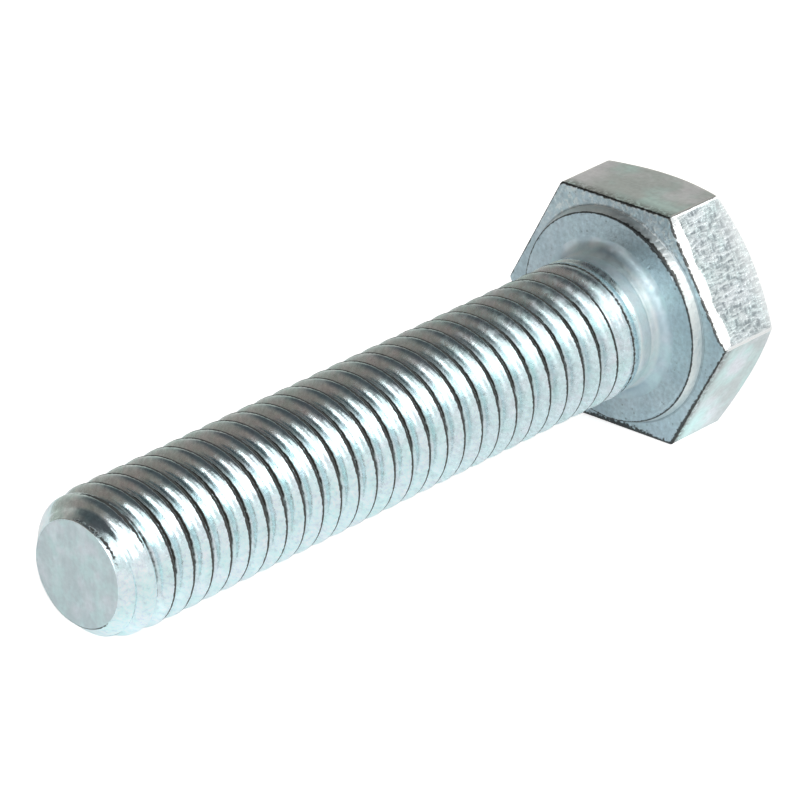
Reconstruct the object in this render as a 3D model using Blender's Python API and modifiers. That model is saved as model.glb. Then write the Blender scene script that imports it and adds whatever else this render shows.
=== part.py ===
"""Hexagon head bolt, M6 x 1 x 30, threaded up to the head.

The bolt lies along X. The middle of the head's outer face is the origin and faces +X, the shank
runs towards -X, and two of the six wrench flats face +Z and -Z. Every shape is turned about the
Z axis of one parent empty, with the head up, and that empty is then laid along X.
"""

import math

import bmesh
import bpy

MM = 0.001

# Thread, metric coarse and right-hand
THREAD_DIAMETER = 5.95 * MM
THREAD_PITCH = 1.0 * MM
THREAD_DEPTH = 0.6134 * THREAD_PITCH
CREST_WIDTH = THREAD_PITCH / 8
FLANK_ANGLE = math.radians(30)

# Lengths along the axis
BOLT_LENGTH = 30.0 * MM
HEAD_HEIGHT = 4.0 * MM
WASHER_FACE_HEIGHT = 0.5 * MM

# Head
ACROSS_FLATS = 10.0 * MM
WASHER_FACE_MARGIN = 0.54 * MM
WASHER_FACE_SLOPE = 0.15 * MM
TOP_CHAMFER_MARGIN = 0.25 * MM
TOP_CHAMFER_ANGLE = math.radians(30)

# Point: a chamfer, then a slight lead where the first turn isn't fully formed
POINT_CHAMFER_DEPTH = 0.8 * MM
POINT_CHAMFER_LENGTH = 0.75 * MM
POINT_LEAD_DEPTH = 0.12 * MM
POINT_LEAD_LENGTH = 1.0 * MM

# Neck between the thread and the head
NECK_RELIEF = 0.08 * MM
NECK_LENGTH = 1.3 * MM
NECK_FILLET_RADIUS = 0.55 * MM

# Thread groove: where it starts before the point, and how it climbs out towards the neck
GROOVE_LEAD_IN = 1.12 * THREAD_PITCH
RUN_OUT_LENGTH = 2.0 * THREAD_PITCH
CUTTER_OVERHANG = 0.05 * MM

# Mesh fineness
SHANK_STEPS = 24
HEAD_STEPS = 48
FILLET_STEPS = 5
MERGE_DISTANCE = 0.001 * MM
SHARP_ANGLE = math.radians(25)

# Heights in the turning frame, with the head's outer face at zero
UNDERSIDE = WASHER_FACE_HEIGHT - HEAD_HEIGHT
BEARING_FACE = -HEAD_HEIGHT
NECK_END = BEARING_FACE - NECK_LENGTH
END_FACE = BEARING_FACE - BOLT_LENGTH

# Radii that follow from the sizes above
THREAD_RADIUS = THREAD_DIAMETER / 2
ROOT_RADIUS = THREAD_RADIUS - THREAD_DEPTH
NECK_RADIUS = THREAD_RADIUS - NECK_RELIEF
WASHER_FACE_RADIUS = ACROSS_FLATS / 2 - WASHER_FACE_MARGIN
TOP_FACE_RADIUS = ACROSS_FLATS / 2 - TOP_CHAMFER_MARGIN
CORNER_RADIUS = ACROSS_FLATS / math.sqrt(3)


def clear_scene():
    """Remove whatever objects the scene holds."""
    for item in list(bpy.data.objects):
        bpy.data.objects.remove(item)


def new_collection(name):
    """Collection linked to the scene."""
    collection = bpy.data.collections.new(name)
    bpy.context.scene.collection.children.link(collection)
    return collection


def lay_along_x():
    """Empty whose Z axis, the bolt's own axis, points along +X."""
    axis = bpy.data.objects.new("bolt_axis", None)
    axis.rotation_euler = (0, math.radians(90), 0)
    bpy.context.scene.collection.objects.link(axis)
    return axis


def add_object(name, mesh, collection, axis):
    """Object in the turning frame."""
    item = bpy.data.objects.new(name, mesh)
    item.parent = axis
    collection.objects.link(item)
    return item


def mark_cutter(item):
    """Show a cutter as wire and keep it out of renders."""
    item.display_type = "WIRE"
    item.hide_render = True


def profile_mesh(name, profile, closed=False):
    """Line of (radius, height) points at +X, ready to be turned."""
    count = len(profile)
    edges = [(index, index + 1) for index in range(count - 1)]
    if closed:
        edges.append((count - 1, 0))
    mesh = bpy.data.meshes.new(name)
    mesh.from_pydata([(radius, 0, height) for radius, height in profile], edges, [])
    return mesh


def add_screw(item, turns, rise, steps):
    """Screw modifier that turns a profile about Z and lifts it by rise."""
    screw = item.modifiers.new("turn", "SCREW")
    screw.angle = turns * 2 * math.pi
    screw.screw_offset = rise
    screw.steps = steps
    screw.render_steps = steps
    screw.use_merge_vertices = True
    screw.merge_threshold = MERGE_DISTANCE


def add_boolean(item, operation, other):
    """Boolean modifier with the exact solver."""
    boolean = item.modifiers.new(operation.lower(), "BOOLEAN")
    boolean.operation = operation
    boolean.solver = "EXACT"
    boolean.object = other


def apply_modifiers(item):
    """Give an object its evaluated mesh in place of its modifiers."""
    depsgraph = bpy.context.evaluated_depsgraph_get()
    mesh = bpy.data.meshes.new_from_object(item.evaluated_get(depsgraph))
    item.modifiers.clear()
    item.data = mesh


def neck_fillet():
    """Hollow arc from the bearing face down to the neck, as (radius, height) points."""
    centre_radius = NECK_RADIUS + NECK_FILLET_RADIUS
    centre_height = BEARING_FACE - NECK_FILLET_RADIUS
    points = []
    for step in range(FILLET_STEPS + 1):
        angle = math.radians(90) * (1 + step / FILLET_STEPS)
        radius = centre_radius + NECK_FILLET_RADIUS * math.cos(angle)
        height = centre_height + NECK_FILLET_RADIUS * math.sin(angle)
        points.append((radius, height))
    return points


def blank_profile():
    """Half outline of washer face, neck, shank and point, from inside the head to the end face."""
    root_radius = WASHER_FACE_RADIUS + WASHER_FACE_SLOPE
    inside_head = UNDERSIDE / 2
    shank_end = END_FACE + POINT_CHAMFER_LENGTH + POINT_LEAD_LENGTH
    lead_radius = THREAD_RADIUS - POINT_LEAD_DEPTH
    profile = [(0, inside_head), (root_radius, inside_head), (root_radius, UNDERSIDE)]
    profile.append((WASHER_FACE_RADIUS, BEARING_FACE))
    profile.extend(neck_fillet())
    profile.append((NECK_RADIUS, NECK_END))
    profile.append((THREAD_RADIUS, NECK_END - NECK_RELIEF))
    profile.append((THREAD_RADIUS, shank_end))
    profile.append((lead_radius, END_FACE + POINT_CHAMFER_LENGTH))
    profile.append((THREAD_RADIUS - POINT_CHAMFER_DEPTH, END_FACE))
    profile.append((0, END_FACE))
    return profile


def make_blank(collection, axis):
    """Turned blank: washer face, neck, plain shank and chamfered point."""
    blank = add_object("hex_bolt", profile_mesh("hex_bolt", blank_profile()), collection, axis)
    add_screw(blank, 1, 0, SHANK_STEPS)
    return blank


def make_top_chamfer(collection, axis):
    """Turned body that rounds the corners of the head's outer face."""
    reach = CORNER_RADIUS + TOP_CHAMFER_MARGIN
    drop = (reach - TOP_FACE_RADIUS) * math.tan(TOP_CHAMFER_ANGLE)
    below = UNDERSIDE - WASHER_FACE_HEIGHT
    profile = [(0, 0), (TOP_FACE_RADIUS, 0), (reach, -drop), (reach, below), (0, below)]
    chamfer = add_object("top_chamfer", profile_mesh("top_chamfer", profile), collection, axis)
    add_screw(chamfer, 1, 0, HEAD_STEPS)
    mark_cutter(chamfer)
    return chamfer


def make_hexagon(collection, axis, chamfer):
    """Hexagonal prism of the head. It stands above the outer face until the chamfer trims it."""
    height = WASHER_FACE_HEIGHT - UNDERSIDE
    mesh = bpy.data.meshes.new("hexagon")
    shape = bmesh.new()
    bmesh.ops.create_cone(
        shape, cap_ends=True, segments=6, radius1=CORNER_RADIUS, radius2=CORNER_RADIUS, depth=height
    )
    bmesh.ops.translate(shape, verts=shape.verts, vec=(0, 0, UNDERSIDE + height / 2))
    shape.to_mesh(mesh)
    shape.free()
    hexagon = add_object("hexagon", mesh, collection, axis)
    add_boolean(hexagon, "INTERSECT", chamfer)
    mark_cutter(hexagon)
    return hexagon


def groove_profile(start):
    """Closed outline of the thread groove, wider than the shank so that it cuts clean."""
    root_width = THREAD_PITCH - CREST_WIDTH - 2 * THREAD_DEPTH * math.tan(FLANK_ANGLE)
    outer_radius = THREAD_RADIUS + CUTTER_OVERHANG
    outer_width = root_width + 2 * (outer_radius - ROOT_RADIUS) * math.tan(FLANK_ANGLE)
    return [
        (outer_radius, start + outer_width / 2),
        (outer_radius, start - outer_width / 2),
        (ROOT_RADIUS, start - root_width / 2),
        (ROOT_RADIUS, start + root_width / 2),
    ]


def climb_out(shape):
    """Move the groove's last turns outwards, so that the thread grows shallow and stops."""
    for vert in shape.verts:
        share = (vert.co.z - (NECK_END - RUN_OUT_LENGTH)) / RUN_OUT_LENGTH
        lift = min(max(share, 0), 1) * (THREAD_DEPTH + CUTTER_OVERHANG)
        radius = math.hypot(vert.co.x, vert.co.y)
        vert.co.x *= 1 + lift / radius
        vert.co.y *= 1 + lift / radius


def make_groove(collection, axis):
    """Helical cutter of the thread, from before the point to the neck."""
    start = END_FACE - GROOVE_LEAD_IN
    steps = math.floor((NECK_END - start) / THREAD_PITCH * SHANK_STEPS)
    turns = steps / SHANK_STEPS
    mesh = profile_mesh("thread_groove", groove_profile(start), closed=True)
    groove = add_object("thread_groove", mesh, collection, axis)
    add_screw(groove, turns, turns * THREAD_PITCH, steps)
    apply_modifiers(groove)
    shape = bmesh.new()
    shape.from_mesh(groove.data)
    bmesh.ops.holes_fill(shape, edges=shape.edges, sides=4)
    climb_out(shape)
    bmesh.ops.triangulate(shape, faces=shape.faces)
    bmesh.ops.recalc_face_normals(shape, faces=shape.faces)
    shape.to_mesh(groove.data)
    shape.free()
    mark_cutter(groove)
    return groove


def zinc_plated_steel():
    """Bright zinc plating, slightly blue."""
    material = bpy.data.materials.new("zinc_plated_steel")
    material.use_nodes = True
    shader = material.node_tree.nodes["Principled BSDF"]
    shader.inputs["Base Color"].default_value = (0.60, 0.64, 0.66, 1)
    shader.inputs["Metallic"].default_value = 1.0
    shader.inputs["Roughness"].default_value = 0.32
    return material


def main():
    clear_scene()
    parts = new_collection("hex_bolt")
    cutters = new_collection("cutters")
    axis = lay_along_x()
    bolt = make_blank(parts, axis)
    chamfer = make_top_chamfer(cutters, axis)
    add_boolean(bolt, "UNION", make_hexagon(cutters, axis, chamfer))
    add_boolean(bolt, "DIFFERENCE", make_groove(cutters, axis))
    apply_modifiers(bolt)
    bolt.data.shade_smooth()
    bolt.data.set_sharp_from_angle(angle=SHARP_ANGLE)
    bolt.data.materials.append(zinc_plated_steel())


main()
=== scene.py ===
"""Looks of the hexagon head bolt: its fine surface, its plated finish and a small studio.

It is laid out as an add-on with one operator for the bolt and one for the stage, and runs as a
script. Lengths are in metres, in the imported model's frame: the bolt's axis lies along X, with the
head's outer face at the origin and the shank towards -X. Angles about the axis run from +Y
towards +Z.
"""

import math

import bmesh
import bpy
import numpy as np
from bpy.props import FloatProperty, FloatVectorProperty, PointerProperty
from mathutils import Matrix, Vector, noise


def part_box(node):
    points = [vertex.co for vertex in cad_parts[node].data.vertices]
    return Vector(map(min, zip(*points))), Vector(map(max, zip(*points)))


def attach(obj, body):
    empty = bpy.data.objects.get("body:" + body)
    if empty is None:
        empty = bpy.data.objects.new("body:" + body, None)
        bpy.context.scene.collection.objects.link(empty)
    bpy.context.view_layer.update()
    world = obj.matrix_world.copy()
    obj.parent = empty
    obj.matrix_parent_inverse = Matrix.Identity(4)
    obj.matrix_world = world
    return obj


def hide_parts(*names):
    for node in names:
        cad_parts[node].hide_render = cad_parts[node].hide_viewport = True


bl_info = {
    "name": "Hexagon Bolt Looks",
    "version": (1, 0, 0),
    "blender": (4, 5, 0),
    "location": "View3D > Sidebar > Hexagon Bolt",
    "description": "Makes a zinc-plated hexagon bolt and a small studio around a packed frame",
    "category": "Object",
}

MM = 0.001
CAD_NODE = "hex_bolt"
BOLT_BODY = "root"

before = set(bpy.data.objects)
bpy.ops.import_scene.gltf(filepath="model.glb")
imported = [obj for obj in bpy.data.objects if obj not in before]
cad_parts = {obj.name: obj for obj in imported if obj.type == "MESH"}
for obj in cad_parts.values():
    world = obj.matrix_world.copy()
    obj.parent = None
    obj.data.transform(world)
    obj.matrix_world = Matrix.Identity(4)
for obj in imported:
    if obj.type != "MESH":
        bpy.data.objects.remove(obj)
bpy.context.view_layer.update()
cad_low, cad_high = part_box(CAD_NODE)

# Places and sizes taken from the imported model
END_FACE = cad_low.x
ACROSS_FLATS = cad_high.z - cad_low.z
FLAT_RADIUS = ACROSS_FLATS / 2

# Fineness of the bolt's mesh
SIDES = 6
COLUMNS_PER_SIDE = 28
COLUMNS = SIDES * COLUMNS_PER_SIDE
COLUMN_CROWDING = 0.98
ROWS_PER_PITCH = 16
ROW_CROWDING = 0.45
ARC_ROWS = 5
FILLET_ROWS = 9
MERGE_DISTANCE = 0.0001 * MM
SNAP_DISTANCE = 0.012 * MM

# Thread form
THREAD_DEPTH_SHARE = 0.6134
CREST_SHARE = 1 / 8
FLANK_SLOPE = math.tan(math.radians(30))
LEAD_IN_TURNS = 1.12
RUN_OUT_TURNS = 2.0
ROOT_ROUNDING = 0.05 * MM
CREST_ROUNDING = 0.20 * MM
POINT_ROUNDING = 0.07 * MM
SHALLOW_SHARE = 0.25
NECK_PLAIN = 0.65 * MM
NECK_TAPER_LENGTH = 1.1 * MM

# Point of the bolt
END_RADIUS_DROP = 0.8 * MM
CHAMFER_LENGTH = 0.75 * MM
LEAD_DROP = 0.12 * MM
LEAD_LENGTH = 1.0 * MM
RIM_LENGTH = 0.05 * MM

# Small roundings of the head
TOP_FACE_MARGIN = 0.25 * MM
TOP_CHAMFER_SLOPE = math.tan(math.radians(30))
WASHER_SLOPE = 0.15 * MM
CORNER_ROUNDING = 0.18 * MM
WASHER_RIM_ROUNDING = 0.05 * MM
STEP_ROUNDING = 0.07 * MM
CREASE_DEPTH = 0.02 * MM
CREASE_WIDTH = 0.09 * NECK_PLAIN
RIM_GROOVE_DEPTH = 0.02 * MM
UNDER_EDGE_ROUNDING = 0.09 * MM
CHAMFER_EDGE_ROUNDING = 0.08 * MM
TOP_EDGE_ROUNDING = 0.10 * MM

# Slight unevenness of the surface
WAVE_DEPTH = 0.006 * MM
WAVE_GRAIN = 1.4 * MM
DENT_DEPTH = 0.012 * MM
DENT_GRAIN = 0.45 * MM
DENT_THRESHOLD = 0.1
OUTSIDE_SHARE = 0.999
FIXED_SHARE = 0.9995
HEAD_ALLOWANCE = 0.01 * MM
ROLLED_EDGE_GRAIN = 0.8 * MM
ROLLED_EDGE_RAGGED = 0.5
ROLLED_EDGE_FADE = 0.10
NICK_ANGLE = math.radians(141)
NICK_WIDTH = 0.16 * MM
NICK_DEPTH = 0.10 * MM
EDGE_RADIUS = 0.12 * MM

# Painted shade: a dark line just past each crest, where the crest hides the groove behind it. Its shift
# and its two widths are shares of a turn.
SHOULDER_PLACE = 0.06
SHOULDER_TURN = math.radians(55)
SHOULDER_TURN_SPREAD = math.radians(45)
SHOULDER_FRONT = 0.08
SHOULDER_BACK = 0.125
SHOULDER_LOSS_AT_NECK = 0.45

# Stretch of the point, in turns, where that painted shade line fades away outside two angles
UNSHADED_POINT_TURNS = 1.6
UNSHADED_POINT_FADE = 0.3
POINT_SHADE_START = math.radians(100)
POINT_SHADE_END = math.radians(128)
POINT_SHADE_FADE = math.radians(40)

# Lower side of the thread, where the painted shade along the roots is a little narrower
LOWER_ROOT_SHADE_ANGLE = math.radians(150)
LOWER_ROOT_SHADE_LOSS = 0.07

# Dark line along the washer face's rim and the underside's edge, widened into a painted contact shadow
# on the floor side, and a painted contact shadow below the end face
RIM_LINE_REACH = 0.085 * MM
RIM_LINE_ANGLE = math.radians(127)
RIM_LINE_SPREAD = math.radians(22)
RIM_LINE_EXTRA = 1.8
OUTLINE_DARK_REACH = 0.14 * MM
FLOOR_SHADOW_ANGLE = math.radians(270)
FLOOR_SHADOW_SPREAD = math.radians(35)
FLOOR_SHADOW_EXTRA = 2.4
END_SHADOW_REACH = 1.6 * RIM_LINE_REACH
END_SHADOW_SHIFT = -0.7
END_SHADOW_GAIN = 1.7

# Order of the finishes in the bolt's material slots
END, THREAD, NECK, WASHER, FLATS, SCORED_FLAT, TOP = range(7)
SCORED_SIDE = 2


def length_property(name, description, millimetres):
    """Length that a user may change, given in millimetres."""
    return FloatProperty(name=name, description=description, default=millimetres * MM, unit="LENGTH")


def colour_property(name, description, *levels):
    """Opaque colour that a user may change, given as red, green and blue."""
    return FloatVectorProperty(
        name=name, description=description, default=(*levels, 1.0), min=0, max=1,
        subtype="COLOR", size=4,
    )


class BoltSizes(bpy.types.PropertyGroup):
    """Sizes of the bolt's own features."""

    thread_diameter: length_property("Thread Diameter", "Across the crests", 5.95)
    pitch: length_property("Pitch", "From crest to crest", 1.0)
    head_height: length_property("Head Height", "Bearing face to outer face", 4.0)
    washer_height: length_property("Washer Face Height", "How far the washer face stands proud", 0.5)
    washer_margin: length_property("Washer Face Margin", "Wrench flat to the washer face's rim", 0.54)
    neck_length: length_property("Neck Length", "Plain part below the head", 1.3)
    neck_relief: length_property("Neck Relief", "How far the neck lies below the crests", 0.08)
    neck_fillet: length_property("Neck Fillet", "Radius of the hollow between neck and head", 0.55)
    rolled_edge_depth: length_property(
        "Rolled Edge Depth", "How far one flat falls away at the underside", 0.15
    )
    rolled_edge_width: length_property("Rolled Edge Width", "Width of that rolled edge", 0.5)


class BoltFinish(bpy.types.PropertyGroup):
    """Colours of the plating and of what has settled on it."""

    plating: colour_property("Plating", "Colour of the zinc", 0.75, 0.91, 0.95)
    # Darker than the plating: partly duller zinc, partly painted shade for the shadowed floor that the
    # washer face reflects
    washer: colour_property("Washer Face", "Duller zinc of the washer face", 0.45, 0.57, 0.63)
    neck: colour_property("Neck", "Pale zinc of the neck", 0.88, 0.91, 0.89)
    flats: colour_property("Flats", "Zinc on the wrench flats", 0.60, 0.67, 0.68)
    end_face: colour_property("End Face", "Matt zinc of the end face", 0.58, 0.68, 0.71)
    passivated: colour_property("Passivated", "Faint tint of the passivation", 0.66, 0.90, 0.89)
    iridescent: colour_property("Iridescent", "Second faint tint", 0.85, 0.86, 0.93)
    # Also painted on as highlight: along the head's corners, on the rolled edge and as glare on the
    # scored flat
    bright_edge_and_glare: colour_property("Bright Edge And Glare", "Zinc polished by handling", 0.93, 0.95, 0.95)
    # This dark colour also paints the shade along the roots, past the crests, in hollows and along the
    # head's edges
    grime_and_shade: colour_property("Grime And Shade", "Colour of dirt in the grooves", 0.035, 0.032, 0.028)


class StageSettings(bpy.types.PropertyGroup):
    """Camera and floor colour around the bolt."""

    camera_azimuth: FloatProperty(
        name="Camera Azimuth", description="Turn about the vertical, from -Y towards +X",
        default=math.radians(-46.68), subtype="ANGLE",
    )
    camera_elevation: FloatProperty(
        name="Camera Elevation", description="Height of the camera as an angle",
        default=math.radians(25.11), subtype="ANGLE",
    )
    camera_roll: FloatProperty(
        name="Camera Roll", description="Turn about the line of sight",
        default=math.radians(-1.46), subtype="ANGLE",
    )
    camera_distance: length_property("Camera Distance", "From the point looked at", 250.8)
    camera_target: FloatVectorProperty(
        name="Camera Target", description="Point looked at", subtype="TRANSLATION", size=3,
        default=(-16.4 * MM, -0.11 * MM, 0.84 * MM),
    )
    camera_lens: FloatProperty(
        name="Camera Lens", description="Focal length in millimetres", default=290.4
    )
    floor_colour: colour_property("Floor", "Colour of the floor", 0.90, 0.90, 0.90)


def sizes():
    """The bolt's sizes as the sidebar holds them."""
    return bpy.context.scene.hex_bolt_sizes


def add_object(name, data):
    """Object in the scene."""
    item = bpy.data.objects.new(name, data)
    bpy.context.scene.collection.objects.link(item)
    return item


# ------------------------------------------------------------------ outline of the bolt


def bearing_face():
    """Place along the axis of the washer face."""
    return -sizes().head_height


def underside():
    """Place along the axis of the hexagon's underside."""
    return bearing_face() + sizes().washer_height


def neck_end():
    """Place along the axis where the thread ends and the neck begins."""
    return bearing_face() - sizes().neck_length


def washer_rim():
    """Radius of the washer face."""
    return FLAT_RADIUS - sizes().washer_margin


def smooth_max(first, second, reach):
    """The larger of two values, rounded where they cross."""
    share = np.clip(0.5 + 0.5 * (first - second) / reach, 0, 1)
    return second + (first - second) * share + reach * share * (1 - share)


def smooth_min(first, second, reach):
    """The smaller of two values, rounded where they cross."""
    return -smooth_max(-first, -second, reach)


def column_angles():
    """Angles of the mesh's columns about the axis, crowded at the hexagon's corners."""
    share = np.arange(COLUMNS_PER_SIDE) / COLUMNS_PER_SIDE
    off_corner = 1 - np.abs(2 * share - 1)
    crowded = off_corner * (1 - COLUMN_CROWDING * (1 - off_corner) ** 1.5) / 2
    warped = np.where(share < 0.5, crowded, 1 - crowded)
    turns = (np.arange(SIDES)[:, None] + warped[None, :]) / SIDES
    return turns.ravel() * 2 * np.pi


def row_shares():
    """Places of the mesh's rows within one pitch, crowded at the groove's root and the crest."""
    share = np.arange(ROWS_PER_PITCH) / ROWS_PER_PITCH
    return share - ROW_CROWDING * np.sin(4 * np.pi * share) / (4 * np.pi)


def hexagon_radius(angles):
    """Distance from the axis to the hexagon's outline, whose corners are slightly rounded."""
    half_side = math.pi / SIDES
    off_flat = angles % (2 * half_side) - half_side
    off_corner = half_side - np.abs(off_flat)
    centre = (FLAT_RADIUS - CORNER_ROUNDING) / math.cos(half_side)
    across = CORNER_ROUNDING * math.sin(half_side)
    along = centre + CORNER_ROUNDING * math.cos(half_side)
    inside = np.clip(CORNER_ROUNDING**2 - (centre * np.sin(off_corner)) ** 2, 0, None)
    arc = centre * np.cos(off_corner) + np.sqrt(inside)
    return np.where(off_corner < math.atan2(across, along), arc, FLAT_RADIUS / np.cos(off_flat))


def blank_radius(x):
    """Radius of the shank before the thread was rolled: chamfered point, lead, shank and neck."""
    size = sizes()
    crest = size.thread_diameter / 2
    chamfer_end = END_FACE + CHAMFER_LENGTH
    chamfer_slope = (END_RADIUS_DROP - LEAD_DROP) / CHAMFER_LENGTH
    chamfer = crest - LEAD_DROP + (x - chamfer_end) * chamfer_slope
    lead = crest - LEAD_DROP + (x - chamfer_end) * LEAD_DROP / LEAD_LENGTH
    taper = size.neck_relief / NECK_TAPER_LENGTH
    neck = crest - size.neck_relief + np.clip(neck_end() + NECK_PLAIN - x, 0, None) * taper
    point = smooth_min(np.minimum(lead, crest), chamfer, POINT_ROUNDING)
    return np.minimum(point, neck)


def thread_radius(x, angles):
    """Radius of the threaded shank at a place along the axis and an angle about it."""
    size = sizes()
    full_depth = THREAD_DEPTH_SHARE * size.pitch
    root_half = size.pitch * (1 - CREST_SHARE) / 2 - full_depth * FLANK_SLOPE
    first_groove = END_FACE - LEAD_IN_TURNS * size.pitch
    turns = (x - first_groove) / size.pitch - (angles + math.pi / 2) / (2 * math.pi)
    off_groove = np.abs(turns - np.round(turns)) * size.pitch
    depth = full_depth - (off_groove - root_half) / FLANK_SLOPE
    depth = smooth_min(depth, full_depth, ROOT_ROUNDING)
    run_out = neck_end() - RUN_OUT_TURNS * size.pitch
    climb = np.clip((x - run_out) / (RUN_OUT_TURNS * size.pitch), 0, 1)
    groove = size.thread_diameter / 2 - depth + np.maximum(climb, SHALLOW_SHARE) * full_depth
    return smooth_min(blank_radius(x), groove, CREST_ROUNDING)


def bell(value, middle, width):
    """Bell curve, which is 1 at its middle."""
    return np.exp(-(((value - middle) / width) ** 2))


# ------------------------------------------------------------------ rings of points


def unit(vectors):
    """Vectors of length one."""
    return vectors / np.linalg.norm(vectors, axis=1, keepdims=True)


def ring_at(x, radius):
    """Ring with one (x, radius) pair in each column."""
    return np.column_stack((np.broadcast_to(x, COLUMNS), np.broadcast_to(radius, COLUMNS)))


def rounded_edge(before, edge, after, rounding):
    """Rows of a small arc in place of an edge between two straight runs."""
    to_before = unit(before - edge)
    to_after = unit(after - edge)
    half = np.arccos(np.clip((to_before * to_after).sum(axis=1), -1, 1))[:, None] / 2
    start = edge + to_before * rounding / np.tan(half)
    end = edge + to_after * rounding / np.tan(half)
    centre = edge + unit(to_before + to_after) * rounding / np.sin(half)
    turn = math.pi - 2 * half
    rows = []
    for share in np.linspace(0, 1, ARC_ROWS):
        first = np.sin((1 - share) * turn) / np.sin(turn)
        second = np.sin(share * turn) / np.sin(turn)
        rows.append(centre + (start - centre) * first + (end - centre) * second)
    return rows


def straight_rows(start, end, shares):
    """Rows between two rings, without the rings themselves."""
    return [start + (end - start) * share for share in shares]


def point_bands(angles):
    """End face and the rim around it, as rings from the axis outwards."""
    rim = END_FACE + RIM_LENGTH
    rim_ring = ring_at(rim, thread_radius(rim, angles))
    edge = ring_at(END_FACE, blank_radius(END_FACE) - RIM_LENGTH / 4)
    centre = ring_at(END_FACE, 0)
    face = [centre, *straight_rows(centre, edge, (0.12, 0.3, 0.5, 0.7, 0.86, 0.95)), edge]
    bend = edge + (rim_ring - edge) * np.array([0.3, 0.62])
    return [(face, END), ([edge, bend, rim_ring], THREAD)]


def neck_rows(angles):
    """Rings of the plain neck and of the hollow up to the bearing face."""
    size = sizes()
    neck = size.thread_diameter / 2 - size.neck_relief
    hollow = size.neck_fillet
    bearing = bearing_face()
    start = ring_at(neck_end(), thread_radius(neck_end(), angles))
    rows = [start]
    for x in neck_end() + NECK_PLAIN * np.array([0.2, 0.45, 0.7, 0.85, 0.93, 1.0, 1.07]):
        crease = CREASE_DEPTH * max(0, 1 - abs(x - neck_end() - NECK_PLAIN) / CREASE_WIDTH)
        rows.append(ring_at(x, blank_radius(x) - crease))
    for angle in np.linspace(0, math.pi / 2, FILLET_ROWS):
        x = bearing - hollow + hollow * math.sin(angle)
        rows.append(ring_at(x, neck + hollow * (1 - math.cos(angle))))
    return rows


def head_bands(angles):
    """Washer face, underside, wrench flats and outer face, as rings from the neck to the axis."""
    outline = hexagon_radius(angles)
    top_radius = FLAT_RADIUS - TOP_FACE_MARGIN
    chamfer_drop = (outline - top_radius) * TOP_CHAMFER_SLOPE
    neck = neck_rows(angles)
    rim = ring_at(bearing_face(), washer_rim())
    step = ring_at(underside(), washer_rim() + WASHER_SLOPE)
    under_edge = ring_at(underside(), outline)
    chamfer_edge = ring_at(-chamfer_drop, outline)
    top_edge = ring_at(0, top_radius)
    centre = ring_at(0, 0)
    rim_arc = rounded_edge(neck[-1], rim, step, WASHER_RIM_ROUNDING)
    step_arc = rounded_edge(rim, step, under_edge, STEP_ROUNDING)
    under_arc = rounded_edge(step, under_edge, chamfer_edge, UNDER_EDGE_ROUNDING)
    chamfer_arc = rounded_edge(under_edge, chamfer_edge, top_edge, CHAMFER_EDGE_ROUNDING)
    top_arc = rounded_edge(chamfer_edge, top_edge, centre, TOP_EDGE_ROUNDING)
    face_shares = (0.04, 0.15, 0.3, 0.45, 0.6, 0.75, 0.86, 0.91, 0.95, 0.99)
    face = straight_rows(neck[-1], rim_arc[0], face_shares)
    face[-2] = face[-2] + np.array([RIM_GROOVE_DEPTH, 0])
    bevel = straight_rows(rim_arc[-1], step_arc[0], (0.1, 0.5, 0.9))
    under = straight_rows(step_arc[-1], under_arc[0], (0.08, 0.35, 0.65, 0.92))
    flat_shares = (*np.arange(0.012, 0.30, 0.021), 0.34, 0.42, 0.53, 0.65, 0.78, 0.9, 0.98)
    flats = straight_rows(under_arc[-1], chamfer_arc[0], flat_shares)
    chamfer = straight_rows(chamfer_arc[-1], top_arc[0], (0.1, 0.4, 0.7, 0.93))
    top = straight_rows(top_arc[-1], centre, (0.03, 0.15, 0.35, 0.55, 0.75, 0.9))
    washer = [neck[-1], *face, *rim_arc, *bevel, *step_arc, *under, *under_arc[:3]]
    return [
        (neck, NECK),
        (washer, WASHER),
        ([*under_arc[2:], *flats, *chamfer_arc[:3]], FLATS),
        ([*chamfer_arc[2:], *chamfer, *top_arc, *top, centre], TOP),
    ]


# ------------------------------------------------------------------ mesh of the bolt


class MeshParts:
    """Points and faces gathered before they become one mesh."""

    def __init__(self):
        self.points = []
        self.grooves = []
        self.painted_shades = []
        self.faces = []
        self.finishes = []
        self.count = 0

    def add_points(self, x, radius, angles, groove=0.0, darkening=0.0):
        """Add points by place along the axis, radius and angle, and return where they start."""
        first = self.count
        points = np.column_stack((x, radius * np.cos(angles), radius * np.sin(angles)))
        self.points.append(points)
        self.grooves.append(np.broadcast_to(groove, len(points)))
        self.painted_shades.append(np.broadcast_to(darkening, len(points)))
        self.count += len(points)
        return first

    def add_faces(self, faces, finish):
        """Add four-sided faces with one finish, or one finish for each face."""
        self.faces.append(faces)
        self.finishes.append(np.broadcast_to(finish, len(faces)))


def add_band(parts, rings, angles, finish):
    """Add rings of (x, radius) pairs and the faces between them."""
    starts = [parts.add_points(ring[:, 0], ring[:, 1], angles) for ring in rings]
    here = np.arange(COLUMNS)
    after = (here + 1) % COLUMNS
    if finish == FLATS:
        side = here // COLUMNS_PER_SIDE
        finish = np.where(side == SCORED_SIDE, SCORED_FLAT, FLATS)
    for low, high in zip(starts, starts[1:]):
        faces = np.column_stack((low + here, high + here, high + after, low + after))
        parts.add_faces(faces, finish)


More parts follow.
